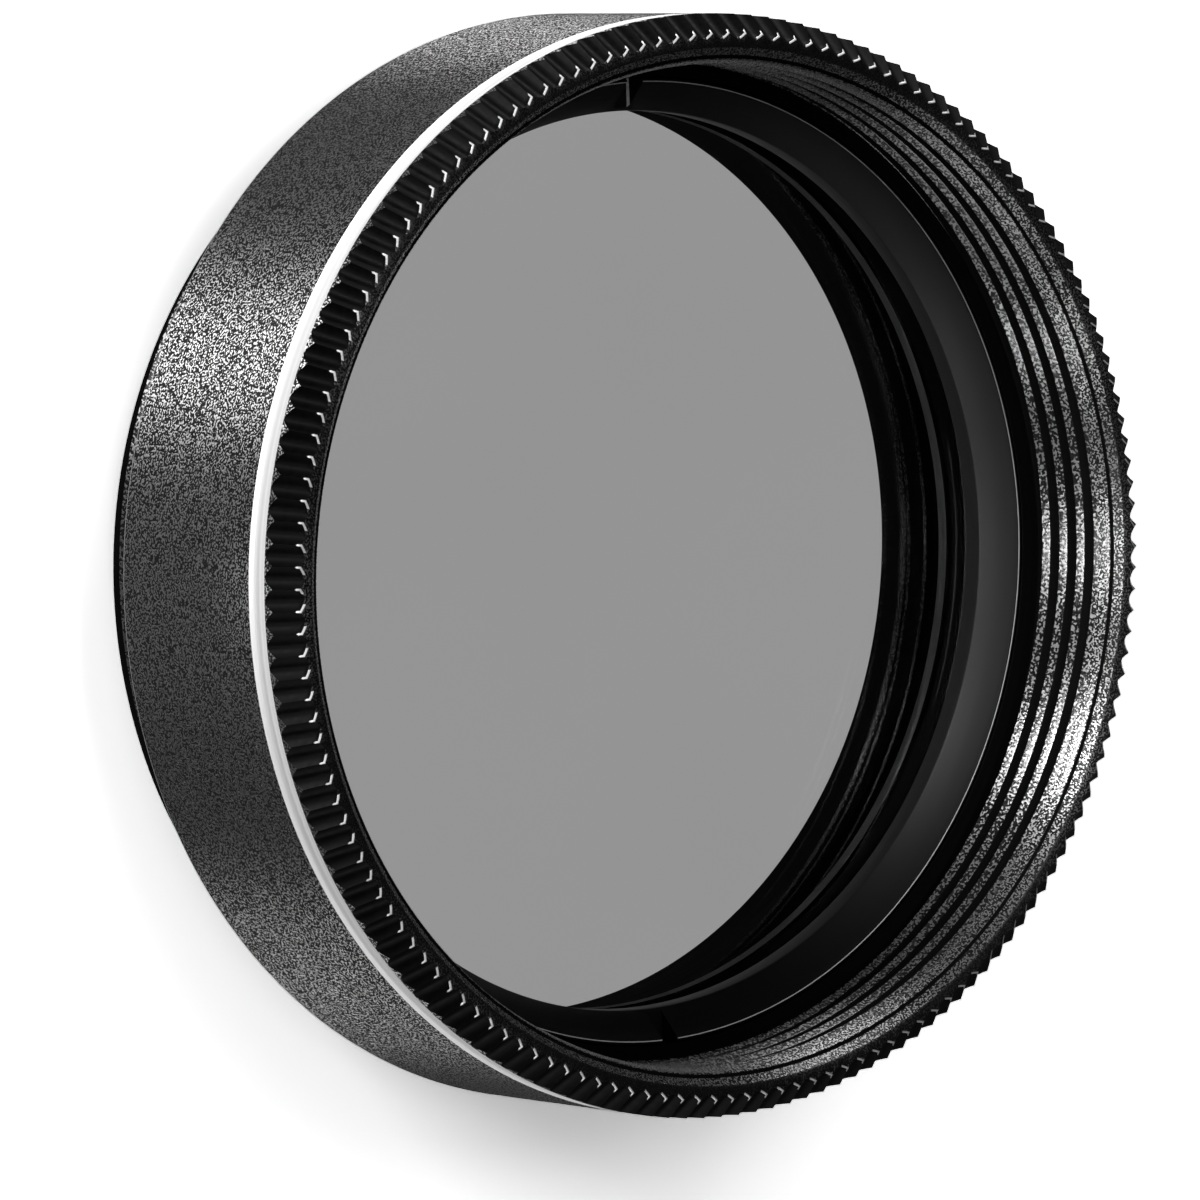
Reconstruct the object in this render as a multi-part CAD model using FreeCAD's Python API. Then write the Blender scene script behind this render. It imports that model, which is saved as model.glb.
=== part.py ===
"""Telescope moon filter: a turned cell, a grey glass disc and the slotted ring that holds the glass down.

Millimetres. The axis of the light is Z. Z = 0 is the end face of the male thread, on which the filter
stands, and +Z looks out of the knurled mouth, which takes the next filter.
"""
import FreeCAD, Part
import math
import os

# Threads. They are plain cylinders here, male at its crests and female at its roots.
THREAD_RADIUS = 14.25
THREAD_ALLOWANCE = 0.05
MALE_LENGTH = 2.30
MALE_WALL = 1.20
MALE_LEAD = 0.35
UNDERCUT_WIDTH = 0.45
UNDERCUT_DEPTH = 0.40
FEMALE_DEPTH = 3.50

# Grip wall, with a bright turned band between it and the knurled bevel.
RIM_WALL = 0.95
WALL_LENGTH = 6.00
BACK_BEVEL = 0.25
BAND_LENGTH = 0.73
BAND_DEPTH = 0.06
BAND_LEAD = 0.20
STRIP_LENGTH = 0.37

# Knurl: V notches cut down the slope of the front bevel. Neighbours overlap, which leaves sharp crests.
BEVEL_HEIGHT = 0.55
BEVEL_WIDTH = 0.53
NOTCH_COUNT = 156
NOTCH_DEPTH = 0.23
NOTCH_OVERLAP = 0.02

# Glass, the lip that it rests on and the pocket round it.
GLASS_THICKNESS = 1.64
GLASS_CLEARANCE = 0.10
GLASS_PROUD = 0.10
GLASS_EDGE = 0.15
SEAT_ABOVE_SHOULDER = 1.10
LIP_WIDTH = 0.62
LIP_LAND = 0.40

# Retaining ring, its own step in the cell and its two spanner slots.
RING_STEP = 0.80
RING_POCKET_STEP = 0.25
RING_CLEARANCE = 0.05
RING_WIDTH = 0.90
RING_THICKNESS = 1.41
RING_FRONT_LAND = 0.10
SLOT_WIDTH = 0.55
SLOT_DEPTH = 0.95
SLOT_AZIMUTH = 0.0

# Radii, worked out from the thread.
male_radius = THREAD_RADIUS - THREAD_ALLOWANCE
female_radius = THREAD_RADIUS + THREAD_ALLOWANCE
wall_radius = female_radius + RIM_WALL
band_radius = wall_radius - BAND_DEPTH
bevel_radius = wall_radius - BEVEL_WIDTH
undercut_radius = male_radius - UNDERCUT_DEPTH
male_bore_radius = male_radius - MALE_WALL
ring_pocket_radius = female_radius - RING_STEP
ring_radius = ring_pocket_radius - RING_CLEARANCE
ring_bore_radius = ring_radius - RING_WIDTH
glass_pocket_radius = ring_pocket_radius - RING_POCKET_STEP
glass_radius = glass_pocket_radius - GLASS_CLEARANCE
lip_radius = glass_pocket_radius - LIP_WIDTH

# Heights, stacked up from the end face.
shoulder_z = MALE_LENGTH
band_z = shoulder_z + WALL_LENGTH
strip_z = band_z + BAND_LENGTH
bevel_z = strip_z + STRIP_LENGTH
front_z = bevel_z + BEVEL_HEIGHT
step_z = front_z - FEMALE_DEPTH
seat_z = shoulder_z + SEAT_ABOVE_SHOULDER
glass_top_z = seat_z + GLASS_THICKNESS
glass_pocket_top_z = glass_top_z - GLASS_PROUD
ring_top_z = glass_top_z + RING_THICKNESS
lip_back_z = seat_z - LIP_LAND
flare_z = lip_back_z - abs(male_bore_radius - lip_radius)

AXIS_FOOT = FreeCAD.Vector(0, 0, 0)
AXIS_UP = FreeCAD.Vector(0, 0, 1)


def at(radius, z):
    """A point of a turned section, which lies in the XZ plane."""
    return FreeCAD.Vector(radius, 0, z)


def turned(edges):
    """The solid that a closed section sweeps round the axis."""
    return Part.Face(Part.Wire(edges)).revolve(AXIS_FOOT, AXIS_UP, 360)


def closed_section(points):
    """Straight edges through the points of a section and back to its first point."""
    following = points[1:] + points[:1]
    return [Part.LineSegment(start, end).toShape() for start, end in zip(points, following)]


def cell_blank():
    """The turned cell before knurling: male thread, wall, band, bevel, mouth, pockets, lip and bore."""
    return turned(closed_section([
        at(male_bore_radius, 0),
        at(male_radius - MALE_LEAD, 0),
        at(male_radius, MALE_LEAD),
        at(male_radius, shoulder_z - UNDERCUT_WIDTH),
        at(undercut_radius, shoulder_z - UNDERCUT_WIDTH),
        at(undercut_radius, shoulder_z),
        at(wall_radius - BACK_BEVEL, shoulder_z),
        at(wall_radius, shoulder_z + BACK_BEVEL),
        at(wall_radius, band_z),
        at(band_radius, band_z + BAND_LEAD),
        at(band_radius, strip_z),
        at(wall_radius, strip_z),
        at(wall_radius, bevel_z),
        at(bevel_radius, front_z),
        at(female_radius, front_z),
        at(female_radius, step_z),
        at(ring_pocket_radius, step_z),
        at(ring_pocket_radius, glass_pocket_top_z),
        at(glass_pocket_radius, glass_pocket_top_z),
        at(glass_pocket_radius, seat_z),
        at(lip_radius, seat_z),
        at(lip_radius, lip_back_z),
        at(male_bore_radius, flare_z),
    ]))


def notch_cutter():
    """A bar of V section that lies in the bevel's slope at azimuth 0 and runs out past both of its ends."""
    bevel_foot = at(wall_radius, bevel_z)
    slope = at(bevel_radius, front_z) - bevel_foot
    along = FreeCAD.Vector(slope).normalize()
    outward = FreeCAD.Vector(along.z, 0, -along.x)
    widest_pitch = 2 * math.pi * wall_radius / NOTCH_COUNT
    sideways = FreeCAD.Vector(0, (widest_pitch + NOTCH_OVERLAP) / 2, 0)
    start = bevel_foot - slope
    head = outward * NOTCH_DEPTH
    section = [
        start - outward * NOTCH_DEPTH,
        start + sideways,
        start + sideways + head,
        start - sideways + head,
        start - sideways,
    ]
    return Part.Face(Part.Wire(closed_section(section))).extrude(slope * 3)


def filter_cell():
    """The knurled cell. The notches start half a pitch from azimuth 0, so that a crest lies there."""
    pitch_angle = 360.0 / NOTCH_COUNT
    cutters = []
    for index in range(NOTCH_COUNT):
        cutter = notch_cutter()
        cutter.rotate(AXIS_FOOT, AXIS_UP, (index + 0.5) * pitch_angle)
        cutters.append(cutter)
    return cell_blank().cut(cutters)


def filter_glass():
    """The glass disc, with both rims chamfered, flat on the lip."""
    return turned(closed_section([
        at(0, seat_z),
        at(glass_radius - GLASS_EDGE, seat_z),
        at(glass_radius, seat_z + GLASS_EDGE),
        at(glass_radius, glass_top_z - GLASS_EDGE),
        at(glass_radius - GLASS_EDGE, glass_top_z),
        at(0, glass_top_z),
    ]))


def retaining_ring():
    """The ring on the glass: a narrow front land, an inner bevel at 45 degrees and two opposite slots."""
    bevel = RING_WIDTH - RING_FRONT_LAND
    ring = turned(closed_section([
        at(ring_bore_radius, glass_top_z),
        at(ring_radius, glass_top_z),
        at(ring_radius, ring_top_z),
        at(ring_radius - RING_FRONT_LAND, ring_top_z),
        at(ring_bore_radius, ring_top_z - bevel),
    ]))
    slot = Part.makeBox(2 * ring_radius, SLOT_WIDTH, SLOT_DEPTH,
                        FreeCAD.Vector(-ring_radius, -SLOT_WIDTH / 2, ring_top_z - SLOT_DEPTH))
    slot.rotate(AXIS_FOOT, AXIS_UP, SLOT_AZIMUTH)
    return ring.cut(slot)


pieces = {
    "filter_cell": filter_cell,
    "filter_glass": filter_glass,
    "retaining_ring": retaining_ring,
}

os.makedirs("parts", exist_ok=True)
for name, make in pieces.items():
    shape = make()
    shape.exportStep("parts/" + name + ".step")
    print(name, "solids", len(shape.Solids), "valid", shape.isValid(), "volume %.1f mm3" % shape.Volume)
print("wall radius %.2f, height %.2f" % (wall_radius, front_z))
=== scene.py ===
# %% [markdown]
# # A telescope moon filter
# The filter is a turned black metal cell with a knurled mouth. A grey glass disc lies inside it, under a
# slotted ring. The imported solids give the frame: every piece below is modelled at its place in that
# frame, in metres.

# %% Load the frame
import math

import bmesh
import bpy
from mathutils import Matrix, Vector


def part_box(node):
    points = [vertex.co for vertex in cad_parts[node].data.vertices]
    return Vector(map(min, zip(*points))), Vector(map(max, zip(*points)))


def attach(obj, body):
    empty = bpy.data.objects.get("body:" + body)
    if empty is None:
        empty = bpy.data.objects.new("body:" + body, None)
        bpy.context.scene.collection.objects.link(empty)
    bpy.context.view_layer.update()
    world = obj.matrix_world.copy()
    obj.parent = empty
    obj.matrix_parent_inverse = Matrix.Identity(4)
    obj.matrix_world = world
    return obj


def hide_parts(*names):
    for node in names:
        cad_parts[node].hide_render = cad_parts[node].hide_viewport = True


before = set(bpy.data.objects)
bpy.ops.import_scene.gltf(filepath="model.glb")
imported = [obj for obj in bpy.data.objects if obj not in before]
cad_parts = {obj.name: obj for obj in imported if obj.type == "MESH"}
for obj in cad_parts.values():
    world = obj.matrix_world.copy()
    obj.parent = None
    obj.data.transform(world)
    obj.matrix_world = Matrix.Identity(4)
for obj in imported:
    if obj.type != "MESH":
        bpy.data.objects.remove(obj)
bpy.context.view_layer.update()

MM = 0.001
ROUND = 2 * math.pi

# %% [markdown]
# The main radii and heights are read from the solids, so that the looks follow the frame. Sizes are in
# millimetres here, as on a workshop drawing, and turn into metres only when a corner is placed.

# %% Sizes from the frame
cell_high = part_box("filter_cell")[1]
ring_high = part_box("retaining_ring")[1]
glass_low, glass_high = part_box("filter_glass")
WALL_RADIUS = cell_high.x / MM
FRONT_Z = cell_high.z / MM
RING_RADIUS = ring_high.x / MM
RING_TOP_Z = ring_high.z / MM
GLASS_RADIUS = glass_high.x / MM
GLASS_TOP_Z = glass_high.z / MM
SEAT_Z = glass_low.z / MM
print("wall radius %.2f, height %.2f, ring top %.2f" % (WALL_RADIUS, FRONT_Z, RING_TOP_Z))

# %% [markdown]
# Before it is dyed black, the metal is blasted with fine grit, so it glitters: some spots are rougher
# than others, and the dye is thinner there. An image could show that, but noise never repeats and needs
# no file. One node group makes the grain: a height, and a mask of its high spots. The inner faces are
# left as turned, so a second group draws noise out round the axis.

# %% Node group helpers
def new_group(name, inputs, outputs):
    """An empty node group with float sockets."""
    group = bpy.data.node_groups.new(name, "ShaderNodeTree")
    for socket_name, value in inputs.items():
        socket = group.interface.new_socket(socket_name, in_out="INPUT", socket_type="NodeSocketFloat")
        socket.default_value = value
    for socket_name in outputs:
        group.interface.new_socket(socket_name, in_out="OUTPUT", socket_type="NodeSocketFloat")
    return group, group.nodes.new("NodeGroupInput"), group.nodes.new("NodeGroupOutput")


def math_node(nodes, operation, *values):
    """A maths node with its operation and its constant inputs. None leaves an input for a link."""
    node = nodes.new("ShaderNodeMath")
    node.operation = operation
    for socket, value in zip(node.inputs, values):
        if value is not None:
            socket.default_value = value
    return node


# %% Grain and streaks
SPARKLE_LEVEL = 0.52
SPARKLE_SHARPNESS = 14.0
GRAIN_DETAIL = 0.6
STREAK_SCALE = 7000.0
STREAK_DRIFT = 0.02
STREAK_DETAIL = 1.0


def make_grain_group():
    """Noise as a height, with a sharp mask of its high spots."""
    group, given, results = new_group("blasted_grain", {"Scale": 1.0}, ("Height", "Sparkle"))
    nodes, links = group.nodes, group.links
    place = nodes.new("ShaderNodeTexCoord")
    noise = nodes.new("ShaderNodeTexNoise")
    noise.inputs["Detail"].default_value = GRAIN_DETAIL
    links.new(place.outputs["Object"], noise.inputs["Vector"])
    links.new(given.outputs["Scale"], noise.inputs["Scale"])
    links.new(noise.outputs["Fac"], results.inputs["Height"])
    lift = math_node(nodes, "SUBTRACT", None, SPARKLE_LEVEL)
    gain = math_node(nodes, "MULTIPLY", None, SPARKLE_SHARPNESS)
    gain.use_clamp = True
    links.new(noise.outputs["Fac"], lift.inputs[0])
    links.new(lift.outputs[0], gain.inputs[0])
    links.new(gain.outputs[0], results.inputs["Sparkle"])
    return group


def make_streak_group():
    """Noise that changes fast with radius and height and slowly round the axis."""
    group, given, results = new_group("turned_streaks", {"Scale": STREAK_SCALE}, ("Height",))
    nodes, links = group.nodes, group.links
    place = nodes.new("ShaderNodeTexCoord")
    parts = nodes.new("ShaderNodeSeparateXYZ")
    flat = nodes.new("ShaderNodeCombineXYZ")
    radius = nodes.new("ShaderNodeVectorMath")
    radius.operation = "LENGTH"
    drift = math_node(nodes, "MULTIPLY", None, STREAK_DRIFT)
    section = nodes.new("ShaderNodeCombineXYZ")
    noise = nodes.new("ShaderNodeTexNoise")
    noise.inputs["Detail"].default_value = STREAK_DETAIL
    links.new(place.outputs["Object"], parts.inputs[0])
    links.new(parts.outputs["X"], flat.inputs["X"])
    links.new(parts.outputs["Y"], flat.inputs["Y"])
    links.new(flat.outputs[0], radius.inputs[0])
    links.new(parts.outputs["Y"], drift.inputs[0])
    links.new(radius.outputs["Value"], section.inputs["X"])
    links.new(parts.outputs["Z"], section.inputs["Y"])
    links.new(drift.outputs[0], section.inputs["Z"])
    links.new(section.outputs[0], noise.inputs["Vector"])
    links.new(given.outputs["Scale"], noise.inputs["Scale"])
    links.new(noise.outputs["Fac"], results.inputs["Height"])
    return group


grain_group = make_grain_group()
streak_group = make_streak_group()
print("surface groups:", grain_group.name, "and", streak_group.name)

# %% [markdown]
# A finish is one material: a Principled shader that a surface group feeds. The group's height goes
# through a Bump node, and Mix nodes turn its values into colour and roughness, so that no surface is one
# flat grey.

# %% Material helpers
def new_finish(name):
    """A material with its nodes, its links and its shader."""
    material = bpy.data.materials.new(name)
    material.use_nodes = True
    tree = material.node_tree
    return material, tree.nodes, tree.links, tree.nodes["Principled BSDF"]


def place_group(nodes, group):
    """A node that shows a group inside a material."""
    node = nodes.new("ShaderNodeGroup")
    node.node_tree = group
    return node


def bump_into(nodes, links, surface, shader, depth):
    """Feeds a surface group's height to a shader as a bump, with its depth in millimetres."""
    bump = nodes.new("ShaderNodeBump")
    bump.inputs["Distance"].default_value = depth * MM
    links.new(surface.outputs["Height"], bump.inputs["Height"])
    links.new(bump.outputs["Normal"], shader.inputs["Normal"])


def blend_into(nodes, links, factor, target, low, high):
    """Feeds a shader input with a value, or a grey, that runs from low to high with a factor."""
    blend = nodes.new("ShaderNodeMix")
    if target.type == "RGBA":
        blend.data_type = "RGBA"
        low, high = (low, low, low, 1), (high, high, high, 1)
    sockets = {socket.name: socket for socket in blend.inputs if socket.enabled}
    sockets["A"].default_value = low
    sockets["B"].default_value = high
    links.new(factor, sockets["Factor"])
    links.new(next(socket for socket in blend.outputs if socket.enabled), target)


# %% [markdown]
# Four kinds of finish are enough. Blasted black is smooth and dark between rough spots of thinly dyed
# metal. Its gloss is drawn out along the axis by anisotropy, as the lathe's rings under the grain do.
# Turned black has only those rings; with almost no gloss it is painted shade in the hollows, and a dim
# blasted black is painted shade on the mouth's front land. Bare metal shows on the band, on the knurl's
# crest ends, and as painted highlights on edges, the lip and slot corners. The glass is clear and grey,
# with the faintest clouds in it.

# %% Finishes
GRAIN_DEPTH = 0.007
DYED_GREY = 0.004
BLASTED_ROUGHNESS = (0.20, 0.54)
GLOSS_TURN = 0.25
TURNED_BLACK_GREYS = (0.0005, 0.002)
METAL_GREYS = (0.75, 0.95)
GLASS_GREYS = (0.42, 0.44)
GLASS_IOR = 1.5
CLOUD_SCALE = 150.0
ROUGHNESS_SPREAD = 0.1


def blasted_black(name, scale, shine):
    """Blasted and dyed metal. Shine is the reflectance of the thinly dyed spots."""
    material, nodes, links, shader = new_finish(name)
    shader.inputs["Anisotropic"].default_value = 1.0
    shader.inputs["Anisotropic Rotation"].default_value = GLOSS_TURN
    grain = place_group(nodes, grain_group)
    grain.inputs["Scale"].default_value = scale
    bump_into(nodes, links, grain, shader, GRAIN_DEPTH)
    sparkle = grain.outputs["Sparkle"]
    links.new(sparkle, shader.inputs["Metallic"])
    blend_into(nodes, links, sparkle, shader.inputs["Base Color"], DYED_GREY, shine)
    blend_into(nodes, links, sparkle, shader.inputs["Roughness"], *BLASTED_ROUGHNESS)
    return material


def turned_finish(name, greys, roughness, depth):
    """Metal as it comes from the lathe, with fine rings between two greys. The shader comes back too."""
    material, nodes, links, shader = new_finish(name)
    streaks = place_group(nodes, streak_group)
    bump_into(nodes, links, streaks, shader, depth)
    height = streaks.outputs["Height"]
    blend_into(nodes, links, height, shader.inputs["Base Color"], *greys)
    blend_into(nodes, links, height, shader.inputs["Roughness"],
               roughness - ROUGHNESS_SPREAD, roughness + ROUGHNESS_SPREAD)
    return material, shader


def turned_black(name, roughness, gloss, depth):
    """Dyed metal as it comes from the lathe."""
    material, shader = turned_finish(name, TURNED_BLACK_GREYS, roughness, depth)
    shader.inputs["Specular IOR Level"].default_value = gloss
    return material


def turned_metal(name, roughness):
    """Bare turned aluminium."""
    material, shader = turned_finish(name, METAL_GREYS, roughness, depth=0.002)
    shader.inputs["Metallic"].default_value = 1.0
    return material


def grey_glass(name):
    """Clear glass, dyed grey right through."""
    material, nodes, links, shader = new_finish(name)
    clouds = place_group(nodes, grain_group)
    clouds.inputs["Scale"].default_value = CLOUD_SCALE
    blend_into(nodes, links, clouds.outputs["Height"], shader.inputs["Base Color"], *GLASS_GREYS)
    shader.inputs["Roughness"].default_value = 0.0
    shader.inputs["IOR"].default_value = GLASS_IOR
    shader.inputs["Transmission Weight"].default_value = 1.0
    return material


wall_black = blasted_black("wall_blasted_black", scale=17000.0, shine=0.37)
# A dim copy of blasted black for the mouth's front land: painted shade.
land_shade_black = blasted_black("land_blasted_black_painted_shade", scale=17000.0, shine=0.06)
thread_black = blasted_black("thread_blasted_black", scale=13000.0, shine=0.30)
# Turned black with almost no gloss, darker than the ring's: painted shade in hollows and thread flanks.
hollow_shade_black = turned_black("turned_black_painted_shade", roughness=0.45, gloss=0.03, depth=0.002)
ring_black = turned_black("ring_turned_black", roughness=0.50, gloss=0.18, depth=0.001)
# Bare metal for the knurl's crest ends, and as painted highlights on edges, the lip and slot corners.
bare_metal_highlight = turned_metal("bare_metal_painted_highlight", roughness=0.50)
band_metal = turned_metal("band_turned_metal", roughness=0.70)
filter_grey = grey_glass("grey_filter_glass")
print("finishes:", [finish.name for finish in bpy.data.materials if finish.use_nodes])

# %% [markdown]
# A lathe turns a part from its half section, and the Spin operator does the same. The section is drawn as
# by hand: one vertex is extruded from corner to corner in the XZ plane, the loop is closed, its corners
# are broken by a small vertex bevel, and the loop is spun round the Z axis. Later steps pick vertices,
# edges and faces by their place.

# %% Turning helpers
MERGE_DISTANCE = 0.0005 * MM
CORNER_BREAK = 0.03
CORNER_TOLERANCE = 0.01
SHARP_ANGLE = 30


def spot_of(place):
    """Radius and height in millimetres, and azimuth in turns, of a place in a mesh."""
    return math.hypot(place.x, place.y) / MM, place.z / MM, math.atan2(place.y, place.x) / ROUND % 1.0


def pick(piece, kind, wanted):
    """Selects what passes a test on its spot: of a vertex, of a face's middle, or of both ends of an edge."""
    mesh = bmesh.from_edit_mesh(piece.data)
    bpy.ops.mesh.select_mode(type=kind)
    bpy.ops.mesh.select_all(action="DESELECT")
    if kind == "VERT":
        chosen = [vertex for vertex in mesh.verts if wanted(*spot_of(vertex.co))]
    elif kind == "FACE":
        chosen = [face for face in mesh.faces if wanted(*spot_of(face.calc_center_median()))]
    else:
        chosen = [edge for edge in mesh.edges if wanted([spot_of(vertex.co) for vertex in edge.verts])]
    for item in chosen:
        item.select = True
    mesh.select_flush_mode()
    bmesh.update_edit_mesh(piece.data)
    return len(chosen)


def draw_section(name, corners):
    """A closed loop of edges through a half section's corners (radius, height). It stays in edit mode."""
    bpy.ops.object.select_all(action="DESELECT")
    bpy.ops.mesh.primitive_plane_add(size=MM)
    piece = bpy.context.object
    piece.name = name
    bpy.ops.object.mode_set(mode="EDIT")
    bpy.ops.mesh.select_mode(type="VERT")
    bpy.ops.mesh.select_all(action="SELECT")
    bpy.ops.mesh.merge(type="CENTER")
    first_radius, first_z = corners[0]
    bpy.ops.transform.translate(value=(first_radius * MM, 0, first_z * MM))
    for (radius, z), (next_radius, next_z) in zip(corners, corners[1:] + corners[:1]):
        step = ((next_radius - radius) * MM, 0, (next_z - z) * MM)
        bpy.ops.mesh.extrude_region_move(TRANSFORM_OT_translate={"value": step})
    bpy.ops.mesh.select_all(action="SELECT")
    bpy.ops.mesh.remove_doubles(threshold=MERGE_DISTANCE)
    return piece


def break_corners(piece, kept):
    """Bevels the section's corners, apart from those that a test keeps sharp."""
    pick(piece, "VERT", lambda radius, z, turn: not kept(radius, z))
    bpy.ops.mesh.bevel(affect="VERTICES", offset=CORNER_BREAK * MM, segments=2)


def turn_section(piece, steps):
    """Spins the section once round the axis, drops an edge left on the axis and turns the faces outwards."""
    bpy.ops.mesh.select_all(action="SELECT")
    bpy.ops.mesh.spin(steps=steps, angle=ROUND, center=(0, 0, 0), axis=(0, 0, 1))
    bpy.ops.mesh.select_all(action="SELECT")
    bpy.ops.mesh.remove_doubles(threshold=MERGE_DISTANCE)
    bpy.ops.mesh.delete_loose()
    bpy.ops.mesh.select_all(action="SELECT")
    bpy.ops.mesh.normals_make_consistent(inside=False)


def paint(piece, finish, wanted):
    """Gives a finish to the faces whose middle (radius, height) passes a test."""
    if finish.name not in piece.data.materials:
        piece.data.materials.append(finish)
    piece.active_material_index = piece.data.materials.find(finish.name)
    count = pick(piece, "FACE", lambda radius, z, turn: wanted(radius, z))
    bpy.ops.object.material_slot_assign()
    print(finish.name, "on", count, "faces of", piece.name)


def leave_smooth(piece):
    """Leaves edit mode and smooths the shading over all but the sharp edges."""
    bpy.ops.object.mode_set(mode="OBJECT")
    bpy.ops.object.select_all(action="DESELECT")
    piece.select_set(True)
    bpy.context.view_layer.objects.active = piece
    bpy.ops.object.shade_smooth_by_angle(angle=math.radians(SHARP_ANGLE))
    print(piece.name, "has", sum(len(face.vertices) - 2 for face in piece.data.polygons), "triangles")


# %% [markdown]
# ## The cell
# The cell is one turned piece. Its section goes up the male thread's core, along the grip wall with the
# bright band, over the knurled bevel into the mouth and down to the lip that the glass lies on. The spin
# has six columns of vertices to each notch of the knurl, so that the notches can be pressed into it
# afterwards. A Boolean with 156 cutters would also do, but it leaves long thin faces.

# %% Cell section
KNURL_COUNT = 156
COLUMNS_PER_NOTCH = 6
BEVEL_FOOT_Z = 9.40
BEVEL_FRONT_RADIUS = 14.72
BRIGHT_SHARE = 0.85
bevel_foot = (WALL_RADIUS, BEVEL_FOOT_Z)
bevel_front = (BEVEL_FRONT_RADIUS, FRONT_Z)


def along_bevel(share):
    """A corner on the bevel, from its foot at share 0 to the front face at share 1."""
    return tuple(start + share * (end - start) for start, end in zip(bevel_foot, bevel_front))


knurl_rows = [(share, along_bevel(share)) for share in (0.0, BRIGHT_SHARE, 1.0)]
MALE_BORE_RADIUS = 13.00
MALE_ROOT_RADIUS = 13.80
SHOULDER_Z = 2.30
BACK_BEVEL = 0.25
BAND_BACK_Z = 8.30
BAND_FRONT_Z = 9.03
BAND_RADIUS = 15.19
BAND_LEAD = 0.20
MOUTH_RADIUS = 14.33
MOUTH_CHAMFER = 0.22
MOUTH_LAND_SLOPE = 0.12
FEMALE_ROOT_RADIUS = 14.30
FEMALE_CREST_RADIUS = 13.86
MOUTH_LAND_TOP = FRONT_Z - 0.27
MOUTH_LAND_FOOT = FRONT_Z - 0.62
THREAD_TOP_Z = FRONT_Z - 0.78
RING_POCKET_RADIUS = RING_RADIUS + 0.05
GLASS_POCKET_RADIUS = GLASS_RADIUS + 0.10
GLASS_POCKET_TOP_Z = GLASS_TOP_Z - 0.10
LIP_RADIUS = 12.63
LIP_LAND = 0.40
cell = draw_section("moon_filter_cell", [
    (MALE_BORE_RADIUS, 0.0),
    (MALE_ROOT_RADIUS, 0.0),
    (MALE_ROOT_RADIUS, SHOULDER_Z),
    (WALL_RADIUS - BACK_BEVEL, SHOULDER_Z),
    (WALL_RADIUS, SHOULDER_Z + BACK_BEVEL),
    (WALL_RADIUS, BAND_BACK_Z),
    (BAND_RADIUS, BAND_BACK_Z + BAND_LEAD),
    (BAND_RADIUS, BAND_FRONT_Z),
    (WALL_RADIUS, BAND_FRONT_Z),
] + [corner for share, corner in knurl_rows] + [
    (MOUTH_RADIUS, FRONT_Z),
    (MOUTH_RADIUS - MOUTH_CHAMFER, FRONT_Z - MOUTH_CHAMFER),
    (FEMALE_CREST_RADIUS + MOUTH_LAND_SLOPE, MOUTH_LAND_TOP),
    (FEMALE_CREST_RADIUS, MOUTH_LAND_FOOT),
    (FEMALE_ROOT_RADIUS, THREAD_TOP_Z),
    (FEMALE_ROOT_RADIUS, RING_TOP_Z),
    (RING_POCKET_RADIUS, RING_TOP_Z),
    (RING_POCKET_RADIUS, GLASS_POCKET_TOP_Z),
    (GLASS_POCKET_RADIUS, GLASS_POCKET_TOP_Z),
    (GLASS_POCKET_RADIUS, SEAT_Z),
    (LIP_RADIUS, SEAT_Z),
    (LIP_RADIUS, SEAT_Z - LIP_LAND),
    (MALE_BORE_RADIUS, SEAT_Z - LIP_LAND - (MALE_BORE_RADIUS - LIP_RADIUS)),
])


def on_knurl(radius, z):
    """True for the corners of the section that the notches move."""
    return any(abs(radius - row[0]) + abs(z - row[1]) < CORNER_TOLERANCE for share, row in knurl_rows)


break_corners(cell, kept=on_knurl)
turn_section(cell, KNURL_COUNT * COLUMNS_PER_NOTCH)
print("cell columns:", KNURL_COUNT * COLUMNS_PER_NOTCH)

# %% [markdown]
# The knurl is 156 round-bottomed notches that run down the bevel. Each row of the bevel is picked by its
# place, and its columns sink by their share of the notch's depth: downwards at the bevel's foot, and
# inwards at the front face. That leaves a sharp crest between two notches and a scalloped edge at both
# ends.

# %% Press the notches
NOTCH_FOOT_DROP = 0.33
NOTCH_FRONT_DEPTH = 0.16
NOTCH_PROFILE = ((1 / 6, 0.47), (2 / 6, 0.85), (3 / 6, 1.0))
ROW_TOLERANCE = 0.005
COLUMN_TOLERANCE = 0.05


def in_column(turn, phase):
    """True where an azimuth lies on a column of the notches: phase 0 is a crest and 0.5 a bottom."""
    place = (turn * KNURL_COUNT) % 1.0
    return min(abs(place - phase), abs(place - 1.0 + phase)) < COLUMN_TOLERANCE


for share, (row_radius, row_z) in knurl_rows:
    for phase, sink in NOTCH_PROFILE:
        moved = pick(cell, "VERT", lambda radius, z, turn: abs(radius - row_radius) < ROW_TOLERANCE
                     and abs(z - row_z) < ROW_TOLERANCE and in_column(turn, phase))
        drop = NOTCH_FOOT_DROP * (1 - share) * sink
        shrink = 1 - NOTCH_FRONT_DEPTH * share * sink / row_radius
        bpy.ops.transform.translate(value=(0, 0, -drop * MM))
        bpy.ops.transform.resize(value=(shrink, shrink, 1), center_override=(0, 0, 0))
        print("row at %.2f, phase %.2f: %d vertices" % (share, phase, moved))

# %% [markdown]
# Bare metal is put where the knurl's crests end at the front face: on each crest's last bit, and as a
# painted highlight along one arm of the edge beside it, the arm that swaps sides round the filter as the
# lit one does. Those edges are bevelled to narrow lands of bare metal. The notches are painted first, in
# the glossless black of painted shade, so that each land comes out in the metal.

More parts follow.
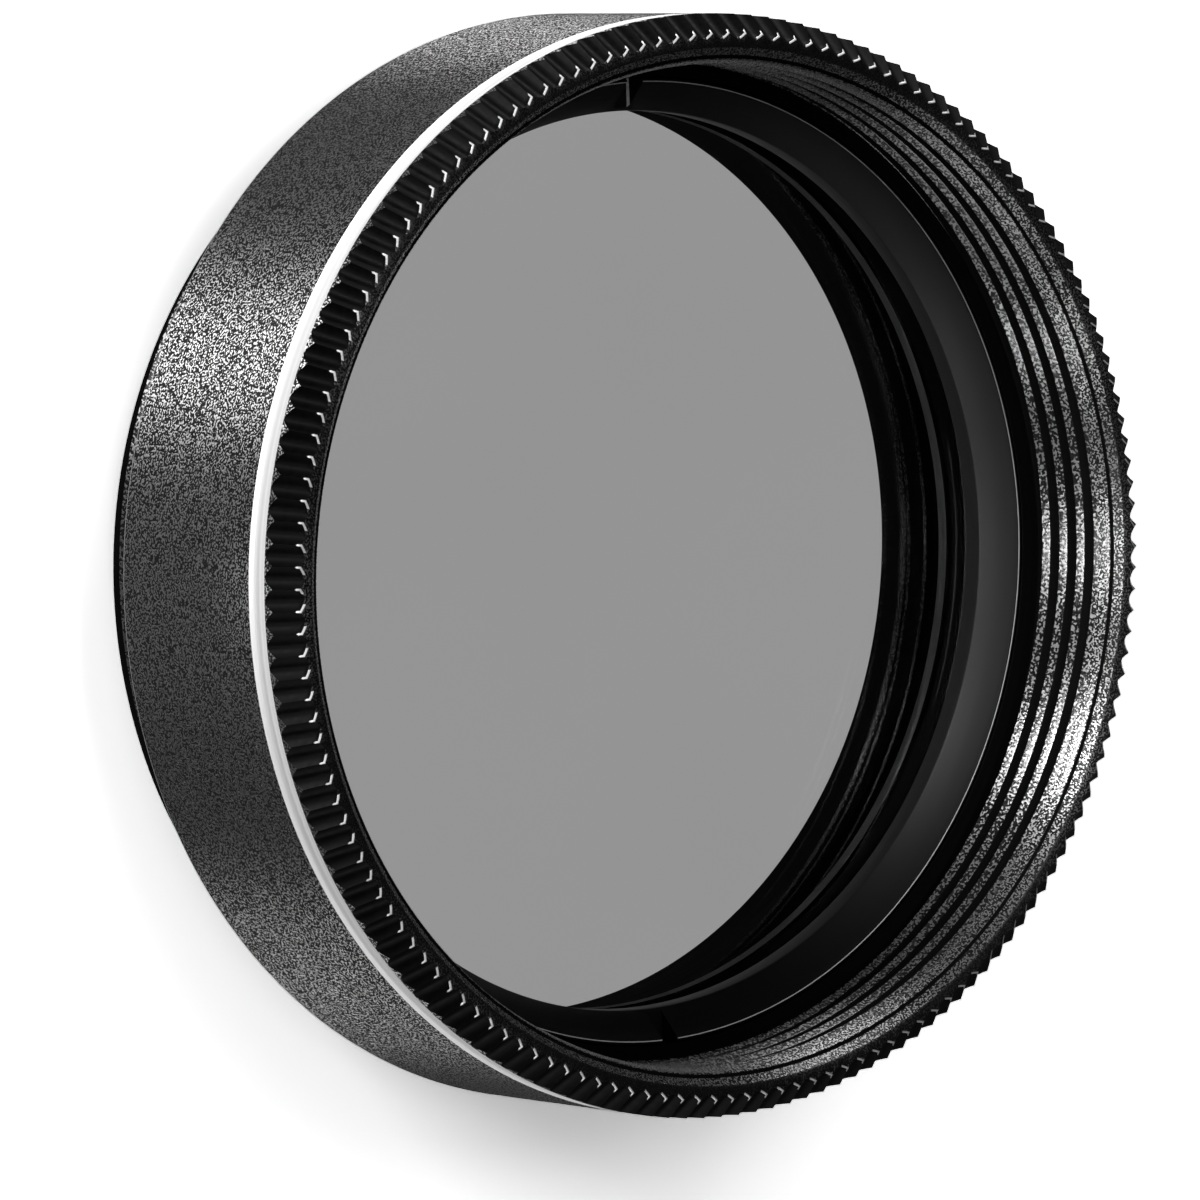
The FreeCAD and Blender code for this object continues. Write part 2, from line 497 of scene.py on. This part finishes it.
# %% Bare crest ends and painted highlights on the knurl's edges
EDGE_LAND = 0.035
FACE_MARGIN = 0.02
WIDE_MARGIN = 0.05
LIT_ARM_FLIP_TURNS = (0.1, 0.745)
FIRST_LIT_ARM_END = 0.6
SECOND_LIT_ARM_SHIFT = 0.1
SECOND_LIT_ARM_START = 0.35
bright_foot_z = along_bevel(BRIGHT_SHARE)[1]
notch_inner_radius = BEVEL_FRONT_RADIUS - 0.14
paint(cell, wall_black, lambda radius, z: True)
# The notches get the glossless black: painted shade.
paint(cell, hollow_shade_black, lambda radius, z: z > BAND_FRONT_Z + WIDE_MARGIN
      and notch_inner_radius < radius < WALL_RADIUS - FACE_MARGIN)


def is_bare_crest_or_lit_arm(spots):
    """True for an edge at a crest's front end, or on the front edge's arm that gets the painted highlight."""
    radii, heights, turns = zip(*spots)
    if min(radii) < BEVEL_FRONT_RADIUS - NOTCH_FRONT_DEPTH - CORNER_TOLERANCE:
        return False
    if min(heights) < bright_foot_z - CORNER_TOLERANCE:
        return False
    if all(in_column(turn, 0.0) for turn in turns):
        return True
    # Phases are shifted a little, so that a crest just short of a whole turn doesn't read as the far end
    # of a notch.
    phases = [(turn * KNURL_COUNT + COLUMN_TOLERANCE) % 1.0 for turn in turns]
    # The bright arm swaps sides at these turns, as the lit arm does: a painted highlight.
    flipped = not LIT_ARM_FLIP_TURNS[0] < turns[0] < LIT_ARM_FLIP_TURNS[1]
    if flipped:
        arm = min((phase - SECOND_LIT_ARM_SHIFT) % 1.0 for phase in phases) > SECOND_LIT_ARM_START
    else:
        arm = max(phases) < FIRST_LIT_ARM_END
    return arm and min(heights) > FRONT_Z - ROW_TOLERANCE


cell.data.materials.append(bare_metal_highlight)
# Picks the crest ends and the lit arms that become bare metal.
print("rubbed edges:", pick(cell, "EDGE", is_bare_crest_or_lit_arm))
bpy.ops.mesh.bevel(affect="EDGES", offset=EDGE_LAND * MM, segments=1,
                   material=cell.data.materials.find(bare_metal_highlight.name))

# %% [markdown]
# Most other finishes follow the tools that made the faces. The band is turned bright after dyeing. The
# thread's root, the pockets, the lip and the bore keep the lathe's rings, in the glossless black of painted
# shade, and the mouth's front land gets a dim blasted black as painted shade. The lip's inner face and the
# back edge of the wall are bare metal as painted highlights.

# %% Finish the cell's faces
STEP_MARGIN = 0.1
CHAMFER_STEP_RADII = (MOUTH_RADIUS - 0.33, MOUTH_RADIUS - 0.23)
CHAMFER_STEP_TOP = FRONT_Z - 0.2
# Thread root, pockets, bore and the chamfer step get the glossless black: painted shade.
paint(cell, hollow_shade_black, lambda radius, z: z < RING_TOP_Z + STEP_MARGIN
      and radius < FEMALE_ROOT_RADIUS - WIDE_MARGIN
      or RING_TOP_Z < z < MOUTH_LAND_FOOT - FACE_MARGIN and radius < FEMALE_ROOT_RADIUS + CORNER_TOLERANCE
      or MOUTH_LAND_TOP - CORNER_TOLERANCE < z < CHAMFER_STEP_TOP
      and CHAMFER_STEP_RADII[0] < radius < CHAMFER_STEP_RADII[1])
# The mouth's front land gets the dim blasted black: painted shade.
paint(cell, land_shade_black, lambda radius, z: z > FRONT_Z - CORNER_BREAK
      and MOUTH_RADIUS - CORNER_BREAK < radius < notch_inner_radius)
paint(cell, band_metal, lambda radius, z: BAND_BACK_Z + CORNER_BREAK < z < BAND_FRONT_Z - FACE_MARGIN
      and radius > BAND_RADIUS - WIDE_MARGIN)
# The lip's inner face is bare metal: a painted highlight.
paint(cell, bare_metal_highlight, lambda radius, z: abs(radius - LIP_RADIUS) < FACE_MARGIN
      and FACE_MARGIN < SEAT_Z - z < LIP_LAND - FACE_MARGIN)
# The back edge of the wall is bare metal: a painted highlight.
paint(cell, bare_metal_highlight, lambda radius, z: abs(radius - WALL_RADIUS) < CORNER_TOLERANCE
      and abs(z - SHOULDER_Z - BACK_BEVEL) < CORNER_BREAK)
leave_smooth(cell)

# %% [markdown]
# ## Threads
# A thread is a ridge that climbs as it goes round, which is what the Screw modifier makes from the
# ridge's section. Inside the mouth its lower end starts in the step under it, and its upper end runs into
# the land behind the mouth. At the back both ends sink into the core over a short way, where the cutter
# went in and came out. The narrow crests are blasted, and the flanks get the glossless black of painted
# shade.

# %% Threads
THREAD_PITCH = 0.75
THREAD_STEPS = 180
FOOT_SHARE = 0.46
LAND_SHARE = 0.16
LEAN_SHARE = 0.23
ROOT_OVERLAP = 0.1
MALE_CREST_RADIUS = 14.20
SLIVER = 0.05


def sink_ends(thread, per_step, depth_radius, sink_steps):
    """Lets a ridge's height fade out at both ends. The screw lays its vertices down section by section."""
    last_step = len(thread.data.vertices) // per_step - 1
    for index, vertex in enumerate(thread.data.vertices):
        step = index // per_step
        share = min(1.0, max(SLIVER, min(step, last_step - step) / sink_steps))
        radius = math.hypot(vertex.co.x, vertex.co.y)
        sunk = (depth_radius * MM + (radius - depth_radius * MM) * share) / radius
        vertex.co.x *= sunk
        vertex.co.y *= sunk


def cut_thread(name, root, crest, start_z, turns, sink_steps):
    """A right-handed helical ridge from its root to its crest radius. Its middle starts on the X axis."""
    foot_radius = root + (root - crest) * ROOT_OVERLAP
    foot = THREAD_PITCH * FOOT_SHARE
    land = THREAD_PITCH * LAND_SHARE
    lean = (root - crest) * LEAN_SHARE
    thread = draw_section(name, [(foot_radius, start_z - foot), (crest, start_z - land),
                                 (crest + lean, start_z + land), (foot_radius, start_z + foot)])
    break_corners(thread, kept=lambda radius, z: abs(radius - foot_radius) < CORNER_TOLERANCE)
    bpy.ops.object.mode_set(mode="OBJECT")
    per_step = len(thread.data.vertices)
    screw = thread.modifiers.new("helix", "SCREW")
    screw.axis = "Z"
    screw.angle = ROUND * turns
    screw.screw_offset = THREAD_PITCH * turns * MM
    screw.steps = round(THREAD_STEPS * turns)
    screw.render_steps = screw.steps
    bpy.ops.object.modifier_apply(modifier=screw.name)
    bpy.ops.object.mode_set(mode="EDIT")
    bpy.ops.mesh.select_all(action="SELECT")
    bpy.ops.mesh.fill_holes(sides=0)
    bpy.ops.mesh.select_all(action="SELECT")
    bpy.ops.mesh.normals_make_consistent(inside=False)
    # The flanks get the glossless black as painted shade; only the crests are blasted.
    paint(thread, hollow_shade_black, lambda radius, z: True)
    paint(thread, thread_black, lambda radius, z: abs(radius - crest - lean / 2) <= abs(lean) / 2)
    bpy.ops.object.mode_set(mode="OBJECT")
    if sink_steps:
        sink_ends(thread, per_step, foot_radius, sink_steps)
    leave_smooth(thread)
    return thread


mouth_thread = cut_thread("mouth_thread", FEMALE_ROOT_RADIUS, FEMALE_CREST_RADIUS,
                          start_z=RING_TOP_Z - 0.38, turns=4.57, sink_steps=0)
back_thread = cut_thread("back_thread", MALE_ROOT_RADIUS, MALE_CREST_RADIUS,
                         start_z=0.42, turns=2.0, sink_steps=20)

# %% [markdown]
# ## Glass and ring
# The glass is a flat disc with chamfered rims. It is a hair thinner than its place, so that it doesn't
# share a face with the ring or the lip: two faces in one plane would show through each other in patches.

# %% Glass
HAIR = 0.002
GLASS_EDGE = 0.15
GLASS_COLUMNS = 180
glass = draw_section("grey_glass_disc", [
    (0.0, SEAT_Z + HAIR),
    (GLASS_RADIUS - GLASS_EDGE, SEAT_Z + HAIR),
    (GLASS_RADIUS, SEAT_Z + GLASS_EDGE),
    (GLASS_RADIUS, GLASS_TOP_Z - GLASS_EDGE),
    (GLASS_RADIUS - GLASS_EDGE, GLASS_TOP_Z - HAIR),
    (0.0, GLASS_TOP_Z - HAIR),
])
turn_section(glass, GLASS_COLUMNS)
paint(glass, filter_grey, lambda radius, z: True)
leave_smooth(glass)

# %% [markdown]
# The ring screws down on the glass. It has a narrow front land, a bevel towards the glass and two slots
# for a spanner. A Boolean with one bar right across cuts both slots at once. The floor corners of the slot
# at -X, and the corner between land and bevel, are bare metal as painted highlights.

# %% Retaining ring
RING_BORE_RADIUS = 12.55
RING_LAND = 0.10
RING_BEVEL = 0.80
SLOT_WIDTH = 0.55
SLOT_DEPTH = 0.70
SLOT_TOLERANCE = 0.002
BAR_LENGTH = 2.2 * RING_RADIUS
BAR_HEIGHT = 2.0
RING_COLUMNS = 360
SLOT_HIGHLIGHT_LAND = 0.07
ring = draw_section("slotted_ring", [
    (RING_BORE_RADIUS, GLASS_TOP_Z),
    (RING_RADIUS, GLASS_TOP_Z),
    (RING_RADIUS, RING_TOP_Z),
    (RING_RADIUS - RING_LAND, RING_TOP_Z),
    (RING_BORE_RADIUS, RING_TOP_Z - RING_BEVEL),
])
break_corners(ring, kept=lambda radius, z: False)
turn_section(ring, RING_COLUMNS)
bpy.ops.object.mode_set(mode="OBJECT")
bpy.ops.object.select_all(action="DESELECT")
bpy.ops.mesh.primitive_cube_add(size=1, location=(0, 0, (RING_TOP_Z - SLOT_DEPTH + BAR_HEIGHT / 2) * MM))
bar = bpy.context.object
bar.scale = (BAR_LENGTH * MM, SLOT_WIDTH * MM, BAR_HEIGHT * MM)
bpy.ops.object.transform_apply(location=True, rotation=True, scale=True)
bpy.ops.object.select_all(action="DESELECT")
ring.select_set(True)
bpy.context.view_layer.objects.active = ring
slots = ring.modifiers.new("slots", "BOOLEAN")
slots.object = bar
slots.solver = "EXACT"
bpy.ops.object.modifier_apply(modifier=slots.name)
bpy.data.objects.remove(bar)
ring.data.materials.clear()
print("ring faces after the cut:", len(ring.data.polygons))

# %% [markdown]
# The slot corners for the painted highlight are picked by their place before the black ring gets its
# bright lands. The bevel can lay two vertices on one spot at the slot's ends, so the mesh is merged after
# it and stays closed.

# %% Finish the ring
def is_highlit_slot_corner(spots):
    """True for a long edge of the floor of the slot at -X, which gets a painted highlight."""
    sides = [math.sin(turn * ROUND) * radius for radius, z, turn in spots]
    low = all(abs(z - RING_TOP_Z + SLOT_DEPTH) < SLOT_TOLERANCE for radius, z, turn in spots)
    at_side = all(abs(abs(side) - SLOT_WIDTH / 2) < SLOT_TOLERANCE for side in sides)
    lengthways = sides[0] * sides[1] > 0
    return low and at_side and lengthways and all(0.25 < turn < 0.75 for radius, z, turn in spots)


bpy.ops.object.mode_set(mode="EDIT")
paint(ring, ring_black, lambda radius, z: True)
ring.data.materials.append(bare_metal_highlight)
# The long floor corners of the slot at -X become bare metal: a painted highlight.
print("slot corners:", pick(ring, "EDGE", is_highlit_slot_corner))
bpy.ops.mesh.bevel(affect="EDGES", offset=SLOT_HIGHLIGHT_LAND * MM, segments=1,
                   material=ring.data.materials.find(bare_metal_highlight.name))
bpy.ops.mesh.select_all(action="SELECT")
bpy.ops.mesh.remove_doubles(threshold=MERGE_DISTANCE)
# The corner between land and bevel is bare metal: a painted highlight.
paint(ring, bare_metal_highlight, lambda radius, z: 0 < radius - RING_RADIUS + RING_LAND < CORNER_BREAK
      and z > RING_TOP_Z - CORNER_BREAK)
leave_smooth(ring)

# %% [markdown]
# ## Hand the pieces to the frame
# Nothing moves on a moon filter, so every piece rides on the one body. The threads belong to the cell.

# %% Ride and replace
for piece, slot, node in ((cell, "black_anodised_cell", "filter_cell"),
                          (mouth_thread, "black_anodised_cell", "filter_cell"),
                          (back_thread, "black_anodised_cell", "filter_cell"),
                          (glass, "grey_glass", "filter_glass"),
                          (ring, "black_anodised_ring", "retaining_ring")):
    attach(piece, "root")
    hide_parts(node)
    print(piece.name, "stands for", node)

# %% [markdown]
# ## Stage
# The floor has to look white without flooding the black metal with light. So it is lit as gently as the
# filter, and its material shows it brighter to the camera, even and bright through the glass, and dark to
# the metal, as the black card does that is laid round a shiny product. The shadow stays on it. The world
# behind it is white to the camera as well, and dim to everything else.

# %% Floor and world
FLOOR_SIZE = 0.4
FLOOR_GAP = 0.02
FLOOR_GREY = 0.8
FLOOR_GREY_CHANGES = {"Is Camera Ray": 2.1, "Is Transmission Ray": -0.8, "Is Glossy Ray": -0.62}
FLOOR_GLOW = {"Is Camera Ray": 0.04, "Is Transmission Ray": 0.72, "Is Glossy Ray": 0.03}
ROOM_LIGHT = 0.03


def by_ray(nodes, links, base, changes):
    """One value for all rays, to which some kinds of ray add a change. It is never negative."""
    path = nodes.new("ShaderNodeLightPath")
    total = None
    for ray, change in changes.items():
        step = math_node(nodes, "MULTIPLY_ADD", None, change, base)
        links.new(path.outputs[ray], step.inputs[0])
        if total:
            links.new(total, step.inputs[2])
        total = step.outputs[0]
    floored = math_node(nodes, "MAXIMUM", None, 0.0)
    links.new(total, floored.inputs[0])
    return floored.outputs[0]


def pale_floor():
    """A matt grey and a glow, each by what kind of ray sees them."""
    material, nodes, links, shader = new_finish("pale_floor")
    nodes.remove(shader)
    matt = nodes.new("ShaderNodeBsdfDiffuse")
    glow = nodes.new("ShaderNodeEmission")
    both = nodes.new("ShaderNodeAddShader")
    links.new(by_ray(nodes, links, FLOOR_GREY, FLOOR_GREY_CHANGES), matt.inputs["Color"])
    links.new(by_ray(nodes, links, 0.0, FLOOR_GLOW), glow.inputs["Strength"])
    links.new(matt.outputs[0], both.inputs[0])
    links.new(glow.outputs[0], both.inputs[1])
    links.new(both.outputs[0], nodes["Material Output"].inputs["Surface"])
    return material


bpy.ops.object.select_all(action="DESELECT")
bpy.ops.mesh.primitive_plane_add(size=FLOOR_SIZE, location=(0, 0, -FLOOR_GAP * MM))
floor = bpy.context.object
floor.name = "pale_floor"
floor.data.materials.append(pale_floor())

world = bpy.data.worlds.new("dim_room")
world.use_nodes = True
bpy.context.scene.world = world
room_nodes, room_links = world.node_tree.nodes, world.node_tree.links
room_nodes["Background"].inputs["Color"].default_value = (1, 1, 1, 1)
room_strength = by_ray(room_nodes, room_links, ROOM_LIGHT, {"Is Camera Ray": 1 - ROOM_LIGHT})
room_links.new(room_strength, room_nodes["Background"].inputs["Strength"])
print("floor grey:", FLOOR_GREY, "room light:", ROOM_LIGHT)

# %% [markdown]
# Black metal shows lamps more than colour. Low softboxes stand where the wall's highlights are: at the
# left, above and below. One overhead makes the soft shadow, and a weak one in front lifts the ring. Three
# spotlights look over the near rim at the threads inside the far wall.

# %% Lights
LAMP_AIM_Z = 5.0
SPOT_ELEVATION = 16
SPOT_DISTANCE = 76.0
SPOT_CONE = 15
SPOT_BLEND = 0.8
SPOT_RADIUS = 6.0
SPOT_AIM_RADIUS = 13.9
SPOT_AIM_Z = 9.4


def lamp_way(azimuth, elevation):
    """The direction of a lamp from the filter. Azimuth runs from -Y towards -X, in degrees."""
    turn = math.radians(azimuth)
    rise = math.radians(elevation)
    return Vector((-math.sin(turn) * math.cos(rise), -math.cos(turn) * math.cos(rise), math.sin(rise)))


def hang_lamp(name, kind, place, way, power):
    """A lamp at a place in metres that looks against a direction, unseen by the camera."""
    lamp = bpy.data.lights.new(name, kind)
    lamp.energy = power
    holder = bpy.data.objects.new(name, lamp)
    bpy.context.scene.collection.objects.link(holder)
    holder.location = place
    holder.rotation_euler = way.to_track_quat("Z", "Y").to_euler()
    holder.visible_camera = False
    return lamp


def softbox(name, azimuth, elevation, distance, width, height, power):
    """An oblong lamp that looks at the middle of the filter."""
    way = lamp_way(azimuth, elevation)
    lamp = hang_lamp(name, "AREA", way * distance + Vector((0, 0, LAMP_AIM_Z * MM)), way, power)
    lamp.shape = "RECTANGLE"
    lamp.size = width
    lamp.size_y = height


def thread_spot(name, azimuth, wall_azimuth, power):
    """A small soft spotlight on the threads at an azimuth of the far wall."""
    way = lamp_way(azimuth, SPOT_ELEVATION)
    turn = math.radians(wall_azimuth)
    target = Vector((math.sin(turn) * SPOT_AIM_RADIUS, math.cos(turn) * SPOT_AIM_RADIUS, SPOT_AIM_Z))
    lamp = hang_lamp(name, "SPOT", (target + way * SPOT_DISTANCE) * MM, way, power)
    lamp.spot_size = math.radians(SPOT_CONE)
    lamp.spot_blend = SPOT_BLEND
    lamp.shadow_soft_size = SPOT_RADIUS * MM


softbox("left_softbox", azimuth=37, elevation=4, distance=0.30, width=0.11, height=0.03, power=1.2)
softbox("upper_softbox", azimuth=112, elevation=5, distance=0.30, width=0.12, height=0.04, power=0.62)
softbox("lower_softbox", azimuth=-74, elevation=8, distance=0.30, width=0.20, height=0.05, power=0.42)
softbox("overhead_softbox", azimuth=95, elevation=70, distance=0.35, width=0.16, height=0.16, power=0.17)
softbox("front_softbox", azimuth=4, elevation=54, distance=0.35, width=0.25, height=0.12, power=0.13)
thread_spot("lower_thread_spot", azimuth=39, wall_azimuth=27, power=0.30)
thread_spot("middle_thread_spot", azimuth=0, wall_azimuth=3, power=0.22)
thread_spot("upper_thread_spot", azimuth=-41, wall_azimuth=-22, power=0.12)
bpy.context.scene.view_settings.view_transform = "Standard"
print("lamps:", [(lamp.name, round(lamp.energy, 2)) for lamp in bpy.data.lights])

# %% [markdown]
# ## Camera
# A long lens looks down at the filter from a little beside -Y and is rolled by about a right angle, so
# that the axis points to the right of the picture. Sizes are in millimetres: the point of the axis at the
# knurl's foot lies a little to the right of the picture's middle and a little above it.

# %% Camera
CAMERA_AZIMUTH = 8.02
CAMERA_ELEVATION = 51.9
CAMERA_ROLL = 94.2
CAMERA_DISTANCE = 275.77
AXIS_POINT_RIGHT = 3.28
AXIS_POINT_UP = 0.91
AXIS_POINT_Z = BEVEL_FOOT_Z
LENS = 300.0
SENSOR_WIDTH = 36.0

back = lamp_way(CAMERA_AZIMUTH, CAMERA_ELEVATION)
level_right = Vector((0, 0, 1)).cross(back).normalized()
level_up = back.cross(level_right)
roll = math.radians(CAMERA_ROLL)
right = level_right * math.cos(roll) + level_up * math.sin(roll)
up = back.cross(right)
view = bpy.data.cameras.new("photo_view")
view.sensor_width = SENSOR_WIDTH
view.lens = LENS
camera = bpy.data.objects.new("photo_view", view)
bpy.context.scene.collection.objects.link(camera)
stand = Vector((0, 0, AXIS_POINT_Z)) + back * CAMERA_DISTANCE - right * AXIS_POINT_RIGHT - up * AXIS_POINT_UP
camera.matrix_world = Matrix.Translation(stand * MM) @ Matrix((right, up, back)).transposed().to_4x4()
bpy.context.scene.camera = camera
print("camera stands at, in mm:", [round(value, 1) for value in stand])
